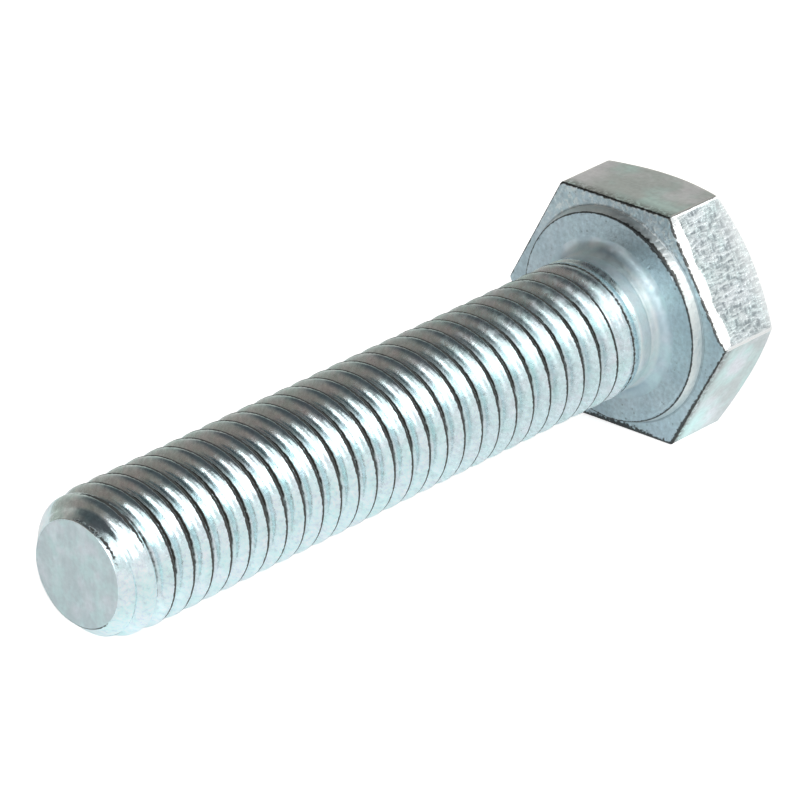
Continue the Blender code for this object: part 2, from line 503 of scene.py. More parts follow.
def add_thread(parts, angles):
    """Add the threaded shank as one strip whose rows follow the helix."""
    size = sizes()
    start = END_FACE + RIM_LENGTH
    end = neck_end()
    first_turn = math.floor((start - END_FACE) / size.pitch + LEAD_IN_TURNS - 2)
    last_turn = math.ceil((end - END_FACE) / size.pitch + LEAD_IN_TURNS + 1)
    turns = (np.arange(first_turn, last_turn)[:, None] + row_shares()[None, :]).ravel()
    first_groove = END_FACE - LEAD_IN_TURNS * size.pitch
    quarter = math.pi / 2
    x = first_groove + size.pitch * (turns[:, None] + (angles[None, :] + quarter) / (2 * math.pi))
    x = np.clip(x, start, end)
    x = np.where(x - start < SNAP_DISTANCE, start, x)
    x = np.where(end - x < SNAP_DISTANCE, end, x)
    around = np.broadcast_to(angles, x.shape)
    radius = thread_radius(x, around)
    groove = (blank_radius(x) - radius) / (THREAD_DEPTH_SHARE * (1 - SHALLOW_SHARE) * size.pitch)
    # Painted shade: a dark line just past each crest, kept off the point outside two angles and weaker
    # near the neck
    further_back = np.clip((around - SHOULDER_TURN) / SHOULDER_TURN_SPREAD, 0, 1)
    past_crest = (turns[:, None] - SHOULDER_PLACE * further_back) % 1 - 0.5
    width = np.where(past_crest < 0, SHOULDER_FRONT, SHOULDER_BACK)
    shoulder = bell(past_crest, 0, width)
    unshaded_end = END_FACE + UNSHADED_POINT_TURNS * size.pitch
    at_point = np.clip((unshaded_end - x) / (UNSHADED_POINT_FADE * size.pitch), 0, 1)
    far_side = np.clip((around - POINT_SHADE_END) / POINT_SHADE_FADE, 0, 1)
    far_side = np.maximum(far_side, np.clip((POINT_SHADE_START - around) / POINT_SHADE_FADE, 0, 1))
    # Painted shade along the roots is a little narrower on the lower side
    lower = np.clip((around - LOWER_ROOT_SHADE_ANGLE) / POINT_SHADE_FADE, 0, 1)
    groove = groove * (1 - LOWER_ROOT_SHADE_LOSS * lower)
    climb = np.clip((x - end) / (RUN_OUT_TURNS * size.pitch) + 1, 0, 1)
    shoulder = shoulder * (1 - at_point * far_side) * (1 - SHOULDER_LOSS_AT_NECK * climb)
    first = parts.add_points(
        x.ravel(), radius.ravel(), around.ravel(), groove.ravel(), shoulder.ravel()
    )
    index = first + np.arange(x.size).reshape(x.shape)
    left = index[:-1, :-1].ravel()
    faces = np.column_stack((left, left + COLUMNS, left + COLUMNS + 1, left + 1))
    parts.add_faces(faces, THREAD)
    seam_rows = len(turns) - ROWS_PER_PITCH - 1
    low = index[:seam_rows, -1]
    next_low = index[ROWS_PER_PITCH : ROWS_PER_PITCH + seam_rows, 0]
    parts.add_faces(np.column_stack((low, low + COLUMNS, next_low + COLUMNS, next_low)), THREAD)


def about_axis(places):
    """Radius and angle about the axis of each place."""
    radius = np.hypot(places[:, 1], places[:, 2])
    return radius, np.arctan2(places[:, 2], places[:, 1]) % (2 * math.pi)


def edge_darkening(places):
    """Dark lines from 0 to 1: along the washer face's rim, along the underside's edge widened into a
    painted contact shadow on the floor side, and a painted contact shadow under the end face.
    """
    x = places[:, 0]
    radius, angles = about_axis(places)
    thicker = 1 + RIM_LINE_EXTRA * bell(angles, RIM_LINE_ANGLE, RIM_LINE_SPREAD)
    rim = 1 - np.hypot(x - bearing_face(), radius - washer_rim()) / (RIM_LINE_REACH * thicker)
    off_outline = np.hypot(x - underside(), radius - hexagon_radius(angles))
    # Painted contact shadow: the underside's edge line widens on the floor side
    shaded = 1 + FLOOR_SHADOW_EXTRA * bell(angles, FLOOR_SHADOW_ANGLE, FLOOR_SHADOW_SPREAD)
    outline = 1 - off_outline / (OUTLINE_DARK_REACH * shaded)
    # Painted contact shadow under the end face, on its lower side
    end = 1 - np.hypot(x - END_FACE, radius - blank_radius(END_FACE)) / END_SHADOW_REACH
    below = np.clip(END_SHADOW_SHIFT - END_SHADOW_GAIN * np.sin(angles), 0, 1)
    return np.clip(np.maximum(np.maximum(rim, outline), end * below), 0, 1)


def store(mesh, name, values):
    """Store one value for each of a mesh's points."""
    stored = mesh.attributes.new(name, "FLOAT", "POINT")
    stored.data.foreach_set("value", values.astype(np.float32))


def bolt_mesh():
    """One closed mesh of the whole bolt, with its finishes as material slots."""
    angles = column_angles()
    parts = MeshParts()
    for rings, finish in point_bands(angles):
        add_band(parts, rings, angles, finish)
    add_thread(parts, angles)
    for rings, finish in head_bands(angles):
        add_band(parts, rings, angles, finish)
    mesh = bpy.data.meshes.new("plated_bolt")
    mesh.from_pydata(np.vstack(parts.points).tolist(), [], np.vstack(parts.faces).tolist())
    mesh.polygons.foreach_set("material_index", np.concatenate(parts.finishes).astype(np.int32))
    store(mesh, "groove", np.concatenate(parts.grooves))
    # Stored dark lines: painted shade past the crests, the rim's line and the painted contact shadows
    darkening = np.maximum(np.concatenate(parts.painted_shades), edge_darkening(np.vstack(parts.points)))
    store(mesh, "darkening", darkening)
    shape = bmesh.new()
    shape.from_mesh(mesh)
    bmesh.ops.remove_doubles(shape, verts=shape.verts, dist=MERGE_DISTANCE)
    bmesh.ops.dissolve_degenerate(shape, edges=shape.edges, dist=MERGE_DISTANCE)
    bmesh.ops.recalc_face_normals(shape, faces=shape.faces)
    shape.to_mesh(mesh)
    shape.free()
    weather(mesh)
    mark_edges(mesh)
    mesh.shade_smooth()
    return mesh


def point_values(mesh):
    """Places and normals of a mesh's points."""
    places = np.empty(len(mesh.vertices) * 3)
    mesh.vertices.foreach_get("co", places)
    normals = np.empty(len(mesh.vertices) * 3)
    mesh.vertex_normals.foreach_get("vector", normals)
    return places.reshape(-1, 3), normals.reshape(-1, 3)


def noise_at(places, grain, seed):
    """Smooth noise from -1 to 1 at each place, whose lumps are about one grain across."""
    shift = Vector((seed, 2.3 * seed, 4.1 * seed))
    return np.array([noise.noise(Vector(place) / grain + shift) for place in places])


def rolled_edge(places, angles):
    """How far the scored flat falls away next to the underside."""
    size = sizes()
    step = washer_rim() + 2 * WASHER_SLOPE
    outwards = (np.hypot(places[:, 1], places[:, 2]) - step) / (FLAT_RADIUS - step)
    on_side = np.floor(angles / (math.pi / 3)).astype(int) == SCORED_SIDE
    away = np.clip(places[:, 0] - underside(), 0, None)
    ragged = 1 + ROLLED_EDGE_RAGGED * noise_at(places * np.array([0.2, 1, 1]), ROLLED_EDGE_GRAIN, 3)
    share = np.clip(1 - away / (size.rolled_edge_width * ragged), 0, 1)
    near_corner = np.abs(angles / (math.pi / 3) - SCORED_SIDE - 0.5) * 2
    fade = np.clip((1 - near_corner) / ROLLED_EDGE_FADE, 0, 1) * np.clip(outwards, 0, 1)
    return np.where(on_side, size.rolled_edge_depth * share * fade, 0)


def nick(places, radius, angles):
    """How deep a small nick cuts into the washer face's rim."""
    rim = washer_rim()
    along = (angles - NICK_ANGLE) * rim
    away = np.hypot(along, radius - rim) / NICK_WIDTH
    below_middle = places[:, 0] < bearing_face() + sizes().washer_height / 2
    on_rim = below_middle & (radius > rim - 2 * NICK_WIDTH)
    return np.where(on_rim, NICK_DEPTH * np.clip(1 - away, 0, 1), 0)


def weather(mesh):
    """Take the machine-perfect look off the surface: slight waves, a rolled edge and a nick."""
    places, normals = point_values(mesh)
    radius, angles = about_axis(places)
    head = places[:, 0] > bearing_face() - HEAD_ALLOWANCE
    waves = WAVE_DEPTH * noise_at(places, WAVE_GRAIN, 1)
    dents = DENT_DEPTH * np.clip(noise_at(places, DENT_GRAIN, 2) - DENT_THRESHOLD, 0, 1)
    outer = np.isclose(places[:, 0], 0, atol=1e-7) | (radius > FLAT_RADIUS * OUTSIDE_SHARE)
    inwards = np.where(outer, np.abs(waves), -waves) + np.where(head, 0, dents)
    radial = np.column_stack((np.zeros(len(places)), np.cos(angles), np.sin(angles)))
    flat = -inwards[:, None] * normals
    rolled = rolled_edge(places, angles) * head
    fall = -rolled[:, None] * radial
    store(mesh, "rolled", rolled / sizes().rolled_edge_depth)
    fall[:, 0] += nick(places, radius, angles)
    at_end = places[:, 0] <= END_FACE + MERGE_DISTANCE
    keep_size = at_end | (np.abs(places[:, 2]) > FLAT_RADIUS * FIXED_SHARE)
    places = places + np.where(keep_size[:, None], 0, flat) + fall
    mesh.vertices.foreach_set("co", places.ravel())
    mesh.update()


def mark_edges(mesh):
    """Store how sharply the surface bends at each point, from -1 in hollows to 1 on edges."""
    places, normals = point_values(mesh)
    ends = np.empty(len(mesh.edges) * 2, np.int32)
    mesh.edges.foreach_get("vertices", ends)
    first, second = ends.reshape(-1, 2).T
    along = places[first] - places[second]
    bend = ((normals[first] - normals[second]) * along).sum(axis=1) / (along**2).sum(axis=1)
    total = np.zeros(len(places))
    for end in (first, second):
        strongest = np.zeros(len(places))
        np.maximum.at(strongest, end, bend)
        weakest = np.zeros(len(places))
        np.minimum.at(weakest, end, bend)
        total = np.where(np.abs(strongest + weakest) > np.abs(total), strongest + weakest, total)
    store(mesh, "edge", np.clip(total * EDGE_RADIUS, -1, 1))


# ------------------------------------------------------------------ finishes


def add_node(tree, kind, **settings):
    """New node with its own properties set."""
    node = tree.nodes.new(kind)
    for name, value in settings.items():
        setattr(node, name, value)
    return node


def feed(tree, socket, source):
    """Give a socket a value, or link it to another node's output."""
    if isinstance(source, bpy.types.NodeSocket):
        tree.links.new(source, socket)
    else:
        socket.default_value = source


def feed_all(tree, node, sources):
    """Give several of a node's sockets a value or a link, by name."""
    for title, source in sources.items():
        feed(tree, node.inputs[title], source)


def calculate(tree, operation, first, second=0.0, clamp=False):
    """Math node with two inputs."""
    node = add_node(tree, "ShaderNodeMath", operation=operation, use_clamp=clamp)
    feed(tree, node.inputs[0], first)
    feed(tree, node.inputs[1], second)
    return node.outputs[0]


def times(tree, first, second):
    """Product of two values."""
    return calculate(tree, "MULTIPLY", first, second)


def vary(tree, value, low, high):
    """Plain spread of a 0 to 1 value between two limits."""
    return calculate(tree, "ADD", times(tree, value, high - low), low)


def spread(tree, value, low, high, to_low=0.0, to_high=1.0):
    """Smooth step of a value between two limits."""
    node = add_node(tree, "ShaderNodeMapRange", interpolation_type="SMOOTHSTEP")
    limits = {"From Min": low, "From Max": high, "To Min": to_low, "To Max": to_high}
    feed_all(tree, node, {"Value": value, **limits})
    return node.outputs["Result"]


def mix_colours(tree, share, first, second, blend_type="MIX"):
    """Blend of two colours."""
    node = add_node(tree, "ShaderNodeMix", data_type="RGBA", blend_type=blend_type)
    feed(tree, node.inputs["Factor"], share)
    feed(tree, node.inputs[6], first)
    feed(tree, node.inputs[7], second)
    return node.outputs[2]


def lumps(tree, place, scale, detail=2.0, roughness=0.5, warp=0.0):
    """Noise from 0 to 1 at a place."""
    node = add_node(tree, "ShaderNodeTexNoise")
    kind = {"Detail": detail, "Roughness": roughness, "Distortion": warp}
    feed_all(tree, node, {"Vector": place, "Scale": scale, **kind})
    return node.outputs["Fac"]


def object_place(tree, stretch=(1, 1, 1), shift=(0, 0, 0)):
    """Place on the object in metres, squeezed along each axis and shifted."""
    coordinates = add_node(tree, "ShaderNodeTexCoord")
    node = add_node(tree, "ShaderNodeVectorMath", operation="MULTIPLY_ADD")
    tree.links.new(coordinates.outputs["Object"], node.inputs[0])
    feed(tree, node.inputs[1], stretch)
    feed(tree, node.inputs[2], shift)
    return node.outputs[0]


def axis_step(tree, axis, low, high, to_high=1.0):
    """Smooth step from 0 between two places along one axis, in millimetres."""
    place = add_node(tree, "ShaderNodeSeparateXYZ")
    feed(tree, place.inputs[0], object_place(tree))
    return spread(tree, place.outputs[axis], low * MM, high * MM, 0.0, to_high)


def stored_value(tree, name):
    """Value stored on the mesh's points."""
    return add_node(tree, "ShaderNodeAttribute", attribute_name=name).outputs["Fac"]


def new_group(name, inputs, outputs):
    """Empty node group with its sockets, and its input and output nodes."""
    group = bpy.data.node_groups.new(name, "ShaderNodeTree")
    for title, kind, default in inputs:
        socket = group.interface.new_socket(title, in_out="INPUT", socket_type="NodeSocket" + kind)
        socket.default_value = default
    for title, kind in outputs:
        group.interface.new_socket(title, in_out="OUTPUT", socket_type="NodeSocket" + kind)
    entry = group.nodes.new("NodeGroupInput")
    leave = group.nodes.new("NodeGroupOutput")
    return group, entry.outputs, leave.inputs


def tint_group(finish):
    """Plating whose colour drifts between the zinc and two faint passivation tints."""
    group, given, result = new_group(
        "Plating Tint",
        (
            ("Plating", "Color", (0.6, 0.7, 0.75, 1.0)), ("Patch Scale", "Float", 900.0),
            ("Strength", "Float", 0.5), ("Mottle", "Float", 0.15),
        ),
        (("Colour", "Color"),),
    )
    colour = given["Plating"]
    for tint, shift, low, high in (
        (finish.passivated, (0, 0, 0), 0.42, 0.66),
        (finish.iridescent, (0.013, 0.021, 0.034), 0.45, 0.68),
    ):
        patches = lumps(group, object_place(group, shift=shift), given["Patch Scale"], 3.0)
        share = times(group, spread(group, patches, low, high), given["Strength"])
        colour = mix_colours(group, share, colour, tint)
    fine = lumps(group, object_place(group), 5200.0, 4.0, 0.65)
    shade = times(group, calculate(group, "SUBTRACT", fine, 0.5), given["Mottle"])
    shade = calculate(group, "ADD", times(group, shade, 2.0), 1.0)
    tinted = add_node(group, "ShaderNodeVectorMath", operation="SCALE")
    feed(group, tinted.inputs[0], colour)
    feed(group, tinted.inputs["Scale"], shade)
    feed(group, result["Colour"], tinted.outputs[0])
    return group


def grain_group():
    """Grain or drag marks: noise squeezed along chosen axes, as a height and as a mask."""
    group, given, result = new_group(
        "Drag Grain",
        (
            ("Squeeze", "Vector", (1.0, 1.0, 1.0)), ("Scale", "Float", 3000.0),
            ("Low", "Float", 0.35), ("High", "Float", 0.65),
        ),
        (("Height", "Float"), ("Mask", "Float")),
    )
    height = lumps(group, object_place(group, given["Squeeze"]), given["Scale"], 4.0, 0.6, 0.3)
    feed(group, result["Height"], height)
    feed(group, result["Mask"], spread(group, height, given["Low"], given["High"]))
    return group


def pits_group():
    """Small pits, scattered in patches, as a height that dips and as a mask."""
    group, given, result = new_group(
        "Small Pits",
        (("Scale", "Float", 6000.0), ("Amount", "Float", 0.3)),
        (("Height", "Float"), ("Mask", "Float")),
    )
    place = object_place(group)
    cells = add_node(group, "ShaderNodeTexVoronoi")
    feed_all(group, cells, {"Vector": place, "Scale": given["Scale"]})
    patch = lumps(group, place, 1100.0, 3.0)
    reach = times(group, spread(group, patch, 0.4, 0.7), given["Amount"])
    pit = spread(group, cells.outputs["Distance"], reach, 0.0)
    feed(group, result["Height"], calculate(group, "SUBTRACT", 1.0, pit))
    feed(group, result["Mask"], pit)
    return group


def wear_group():
    """Broken line along outer edges, painted shade in hollows and the stored dark lines with their
    painted shade, as masks.
    """
    group, given, result = new_group(
        "Edge Wear",
        (("Start", "Float", 0.25), ("Break Up", "Float", 0.5)),
        (("Edge", "Float"), ("Hollow", "Float"), ("Dark Lines", "Float")),
    )
    bend = stored_value(group, "edge")
    broken = lumps(group, object_place(group), 2600.0, 3.0)
    broken = times(group, calculate(group, "SUBTRACT", broken, 0.5), given["Break Up"])
    shifted = calculate(group, "ADD", bend, broken)
    full = calculate(group, "ADD", given["Start"], 0.35)
    feed(group, result["Edge"], spread(group, shifted, given["Start"], full))
    # Painted shade in hollows, where the surface bends inwards
    hollow = calculate(group, "SUBTRACT", broken, bend)
    feed(group, result["Hollow"], spread(group, hollow, given["Start"], full))
    # Stored dark lines, which hold painted shade and painted contact shadows, with ragged edges
    ragged = vary(group, lumps(group, object_place(group), 6500.0, 3.0), -1.0, 1.0)
    ragged = times(group, ragged, given["Break Up"])
    darkening = calculate(group, "ADD", stored_value(group, "darkening"), ragged)
    feed(group, result["Dark Lines"], spread(group, darkening, 0.35, 0.6))
    return group


def new_material(name):
    """Material, its node tree and its shader."""
    material = bpy.data.materials.new(name)
    material.use_nodes = True
    tree = material.node_tree
    return material, tree, tree.nodes["Principled BSDF"]


def new_metal(name):
    """Material with a metallic shader, and its node tree."""
    material, tree, shader = new_material(name)
    shader.inputs["Metallic"].default_value = 1.0
    return material, tree


def place_group(tree, group, **values):
    """Node that uses a group, with its inputs set by name."""
    node = add_node(tree, "ShaderNodeGroup", node_tree=group)
    feed_all(tree, node, {title.replace("_", " "): value for title, value in values.items()})
    return node.outputs


def bumps(tree, *layers):
    """Normal of bumps laid over each other, each given as a height and a depth in millimetres."""
    normal = None
    for height, depth in layers:
        node = add_node(tree, "ShaderNodeBump")
        feed_all(tree, node, {"Height": height, "Distance": depth * MM})
        if normal is not None:
            feed(tree, node.inputs["Normal"], normal)
        normal = node.outputs["Normal"]
    return normal


def completed(material, colour, roughness, *layers):
    """Material whose shader is fed with a colour, a roughness and layers of bumps."""
    tree = material.node_tree
    normal = bumps(tree, *layers)
    sources = {"Base Color": colour, "Roughness": roughness, "Normal": normal}
    feed_all(tree, tree.nodes["Principled BSDF"], sources)
    return material


class FinishKit:
    """The colours and node groups that the finishes share."""

    def __init__(self, colours):
        self.colours = colours
        self.tint = tint_group(colours)
        self.grain = grain_group()
        self.pits = pits_group()
        self.wear = wear_group()


def tinted(kit, tree, plating, patch_scale, strength, mottle):
    """Plating colour with its faint tints."""
    node = place_group(
        tree, kit.tint, Plating=plating, Patch_Scale=patch_scale, Strength=strength, Mottle=mottle
    )
    return node["Colour"]


def darkened_colour(kit, tree, colour, *layers):
    """Colour darkened towards the dark colour in layers, each given as a mask and a strength; the
    layers are pits, speckle, a duller finish and painted shade.
    """
    for mask, strength in layers:
        colour = mix_colours(tree, times(tree, mask, strength), colour, kit.colours.grime_and_shade)
    return colour


def worn_edges(kit, tree, colour):
    """Colour of a flat with polished corners painted bright as part of their highlight, brown speckle
    next to the underside and the dark lines along the head's edges, and the corners' mask.
    """
    wear = place_group(tree, kit.wear, Start=0.3, Break_Up=0.45)
    speckle = lumps(tree, object_place(tree), 5200.0, 4.0, 0.7)
    near = axis_step(tree, "X", -2.7, -3.5)
    darkening = times(tree, near, spread(tree, speckle, 0.36, 0.58))
    colour = darkened_colour(kit, tree, colour, (darkening, 0.8))
    # Polished corners, painted bright as part of the highlight along them, except near the underside
    polished = times(tree, wear["Edge"], axis_step(tree, "X", -3.4, -3.3))
    colour = mix_colours(tree, polished, colour, kit.colours.bright_edge_and_glare)
    # Dark lines along the head's edges, with the painted contact shadow on the floor side
    return darkened_colour(kit, tree, colour, (wear["Dark Lines"], 0.9)), polished


def rolled_thread(kit):
    """Bright rolled thread, duller towards the head, with painted shade along its roots and just past
    its crests.
    """
    material, tree = new_metal("rolled_thread")
    shader = tree.nodes["Principled BSDF"]
    shader.inputs["Specular IOR Level"].default_value = 0.05
    colour = tinted(kit, tree, kit.colours.plating, 1100.0, 0.5, 0.18)
    colour = tinted(kit, tree, colour, 3600.0, 0.22, 0.22)
    grain = place_group(tree, kit.grain, Scale=3000.0, Low=0.42, High=0.7)
    pits = place_group(tree, kit.pits, Scale=5200.0, Amount=0.16)
    wear = place_group(tree, kit.wear, Start=0.5, Break_Up=0.5)
    groove = stored_value(tree, "groove")
    ragged = vary(tree, lumps(tree, object_place(tree), 3800.0, 3.0), -0.08, 0.08)
    # Painted shade: a dark line along each root, and a soft darkening deeper in the groove
    root_shade = spread(tree, calculate(tree, "ADD", groove, ragged), 0.88, 0.97)
    deep = spread(tree, groove, 0.35, 1.0)
    dull = axis_step(tree, "X", -22, -7)
    colour = darkened_colour(kit, tree, colour, (pits["Mask"], 0.4), (deep, 0.12), (dull, 0.10))
    colour = darkened_colour(kit, tree, colour, (root_shade, 1.0), (wear["Dark Lines"], 0.95))
    # Where the painted shade lines lie, the surface is also less metallic and rougher
    shade_lines = calculate(tree, "MAXIMUM", root_shade, wear["Dark Lines"])
    feed(tree, shader.inputs["Metallic"], vary(tree, shade_lines, 1.0, 0.1))
    patchy = times(tree, grain["Mask"], vary(tree, dull, 0.06, 0.18))
    rough = calculate(tree, "ADD", vary(tree, dull, 0.17, 0.26), patchy)
    rough = calculate(tree, "ADD", rough, times(tree, shade_lines, 0.4))
    return completed(material, colour, rough, (grain["Height"], 0.008), (pits["Height"], 0.004))


def pressed_neck(kit):
    """Hollow between thread and head, satin, duller towards the washer face, with painted shade in its
    hollow.
    """
    material, tree = new_metal("pressed_neck")
    place = add_node(tree, "ShaderNodeSeparateXYZ")
    feed(tree, place.inputs[0], object_place(tree))
    outwards = calculate(tree, "POWER", place.outputs["Y"], 2.0)
    outwards = calculate(tree, "ADD", outwards, calculate(tree, "POWER", place.outputs["Z"], 2.0))
    outwards = spread(tree, calculate(tree, "SQRT", outwards), 2.87 * MM, 3.02 * MM)
    colour = mix_colours(tree, outwards, kit.colours.neck, kit.colours.washer)
    colour = tinted(kit, tree, colour, 1000.0, 0.3, 0.12)
    grain = place_group(tree, kit.grain, Scale=3600.0, Low=0.35, High=0.7)
    # Painted shade in the neck's hollow
    hollow = place_group(tree, kit.wear, Start=0.6, Break_Up=0.2)["Hollow"]
    colour = darkened_colour(kit, tree, colour, (hollow, 0.6))
    rough = vary(tree, grain["Mask"], 0.42, 0.54)
    return completed(material, colour, rough, (grain["Height"], 0.014))


def washer_face(kit):
    """Washer face and underside: dull, pitted, and darker in colour, partly as painted shade for the
    shadowed floor they reflect, with painted shade in hollows and dark lines along the edges.
    """
    material, tree = new_metal("washer_face")
    colour = tinted(kit, tree, kit.colours.washer, 700.0, 0.12, 0.40)
    grain = place_group(tree, kit.grain, Scale=4200.0, Low=0.35, High=0.7)
    crust = place_group(tree, kit.grain, Scale=5600.0, Low=0.44, High=0.66)
    pits = place_group(tree, kit.pits, Scale=4200.0, Amount=0.34)
    wear = place_group(tree, kit.wear, Start=0.7, Break_Up=0.6)
    under = axis_step(tree, "X", -3.58, -3.52)
    bevel = axis_step(tree, "X", -3.98, -3.93)
    bevel = calculate(tree, "SUBTRACT", bevel, under, clamp=True)
    colour = mix_colours(tree, times(tree, bevel, 0.8), colour, kit.colours.neck)
    under = times(tree, under, axis_step(tree, "Z", 1.8, 4.2))
    bright = times(tree, under, crust["Mask"])
    colour = mix_colours(tree, times(tree, bright, 0.5), colour, kit.colours.neck)
    # Painted shade in hollows, dark lines along the rim and the underside's edge, and pits
    colour = darkened_colour(kit, tree, colour, (wear["Hollow"], 0.3), (wear["Dark Lines"], 0.9), (pits["Mask"], 0.5))
    rough = vary(tree, grain["Mask"], 0.34, 0.48)
    crusted = times(tree, crust["Height"], under)
    layers = (grain["Height"], 0.034), (crusted, 0.06), (pits["Height"], 0.014)
    return completed(material, colour, rough, *layers)


def smooth_flat(kit):
    """Drawn wrench flats: satin, with faint tints and fine lines across."""
    material, tree = new_metal("smooth_flat")
    colour = tinted(kit, tree, kit.colours.flats, 520.0, 0.8, 0.22)
    grain = place_group(tree, kit.grain, Squeeze=(1.0, 0.12, 0.12), Scale=6000.0)
    colour, polished = worn_edges(kit, tree, colour)
    rough = vary(tree, grain["Mask"], 0.28, 0.38)
    rough = calculate(tree, "SUBTRACT", rough, times(tree, polished, 0.14))
    return completed(material, colour, rough, (grain["Height"], 0.0022))


def scored_flat(kit):
    """The flat that dragged in the tool: short scores along and across it, painted darker and brighter
    in dabs, partly their own marks and partly their dark reflections and glints, with a painted glare
    towards the outer face.
    """
    material, tree = new_metal("scored_flat")
    colour = tinted(kit, tree, kit.colours.flats, 800.0, 0.3, 0.20)
    lengthwise = (0.25, 1.0, 1.0)
    crosswise = (1.0, 0.32, 0.32)
    along = place_group(tree, kit.grain, Squeeze=lengthwise, Scale=8200.0, Low=0.36, High=0.60)
    across = place_group(tree, kit.grain, Squeeze=crosswise, Scale=6400.0, Low=0.36, High=0.60)
    # Painted reflections on the scores: dark dabs where both sets meet, bright dabs between the
    # lengthwise ones
    dark = times(tree, along["Mask"], across["Mask"])
    bright = times(tree, calculate(tree, "SUBTRACT", 1.0, along["Mask"]), 0.38)
    # Painted glare, growing towards the outer face
    outer_end = axis_step(tree, "X", -1.3, -0.3, 0.6)
    bright = calculate(tree, "MAXIMUM", bright, outer_end)
    colour = mix_colours(tree, times(tree, dark, 0.85), colour, (0.20, 0.23, 0.25, 1))
    colour = mix_colours(tree, bright, colour, kit.colours.bright_edge_and_glare)
    colour, polished = worn_edges(kit, tree, colour)
    # Rolled edge, burnished and painted bright as part of the glare along it
    rolled = spread(tree, stored_value(tree, "rolled"), 0.02, 0.10)
    colour = mix_colours(tree, rolled, colour, kit.colours.bright_edge_and_glare)
    # Dark lines along the head's edges, partly painted shade
    wear = place_group(tree, kit.wear, Start=0.3, Break_Up=0.6)
    colour = darkened_colour(kit, tree, colour, (wear["Dark Lines"], 0.9))
    smooth = calculate(tree, "MAXIMUM", rolled, polished)
    rough = vary(tree, across["Mask"], 0.20, 0.36)
    rough = calculate(tree, "SUBTRACT", rough, times(tree, smooth, 0.12))
    return completed(material, colour, rough, (along["Height"], 0.026), (across["Height"], 0.018))


def cut_end(kit):
    """End face: pale and matt, with the faint grain of the sheared wire."""
    material, tree = new_metal("cut_end")
    colour = tinted(kit, tree, kit.colours.end_face, 1300.0, 0.35, 0.10)
    grain = place_group(tree, kit.grain, Squeeze=(1.0, 1.0, 0.25), Scale=4200.0)
    pits = place_group(tree, kit.pits, Scale=5200.0, Amount=0.14)
    colour = darkened_colour(kit, tree, colour, (pits["Mask"], 0.3))
    rough = vary(tree, grain["Mask"], 0.46, 0.6)
    return completed(material, colour, rough, (grain["Height"], 0.005), (pits["Height"], 0.006))


def outer_face(kit):
    """Outer face of the head: satin, with fine grain and a few pits."""
    material, tree = new_metal("outer_face")
    colour = tinted(kit, tree, kit.colours.flats, 500.0, 0.35, 0.12)
    grain = place_group(tree, kit.grain, Scale=3800.0)
    pits = place_group(tree, kit.pits, Scale=3600.0, Amount=0.2)
    wear = place_group(tree, kit.wear, Start=0.3, Break_Up=0.5)
    colour = darkened_colour(kit, tree, colour, (pits["Mask"], 0.4))
    rough = vary(tree, grain["Mask"], 0.32, 0.45)
    rough = calculate(tree, "SUBTRACT", rough, times(tree, wear["Edge"], 0.12))
    return completed(material, colour, rough, (grain["Height"], 0.006), (pits["Height"], 0.008))


def finishes_in_order(kit):
    """Materials in the order of the bolt's slots."""
    made = {
        END: cut_end(kit), THREAD: rolled_thread(kit), NECK: pressed_neck(kit),
        WASHER: washer_face(kit), FLATS: smooth_flat(kit), SCORED_FLAT: scored_flat(kit),
        TOP: outer_face(kit),
    }
    return [made[index] for index in sorted(made)]


class HEXBOLT_OT_bolt(bpy.types.Operator):
    """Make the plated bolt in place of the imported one"""

    bl_idname = "hexbolt.bolt"
    bl_label = "Plated Bolt"

    def execute(self, context):
        bolt = add_object("plated_bolt", bolt_mesh())
        for material in finishes_in_order(FinishKit(context.scene.hex_bolt_finish)):
            bolt.data.materials.append(material)
        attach(bolt, BOLT_BODY)
        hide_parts(CAD_NODE)
        return {"FINISHED"}


# ------------------------------------------------------------------ stage

FLOOR_SLOPE = 0.0685
FLOOR_SIZE = 6.0
FLOOR_GLOW = 0.75
FLOOR_REFLECTED = 0.27
LIGHT_DISTANCE = 0.5
BEHIND_POINT = (0.24, 0.19, 0.165, 1)
BEHIND_HEAD = (0.58, 0.56, 0.51, 1)
IN_FRONT = (0.82, 0.84, 0.84, 1)
OVERHEAD = (0.07, 0.075, 0.08, 1)


def make_floor(settings):
    """Pale floor that touches the head's lower flat and the thread's end."""
    material, tree, shader = new_material("pale_floor")
    shader.inputs["Base Color"].default_value = settings.floor_colour
    shader.inputs["Roughness"].default_value = 0.9
    shader.inputs["Specular IOR Level"].default_value = 0.0
    shader.inputs["Emission Color"].default_value = (1, 1, 1, 1)
    seen = add_node(tree, "ShaderNodeLightPath").outputs["Is Camera Ray"]
    feed(tree, shader.inputs["Emission Strength"], vary(tree, seen, FLOOR_REFLECTED, FLOOR_GLOW))
    shape = bmesh.new()
    bmesh.ops.create_grid(shape, x_segments=1, y_segments=1, size=FLOOR_SIZE / 2)
    mesh = bpy.data.meshes.new("floor")
    shape.to_mesh(mesh)
    shape.free()
    mesh.materials.append(material)
    floor = add_object("floor", mesh)
    floor.location = (underside(), 0, -FLAT_RADIUS)
    floor.rotation_euler = (0, math.atan(FLOOR_SLOPE), 0)


def direction(azimuth, elevation):
    """Direction at an angle from -Y towards +X, and at a height above the level."""
    level = math.cos(elevation)
    return Vector((math.sin(azimuth) * level, -math.cos(azimuth) * level, math.sin(elevation)))


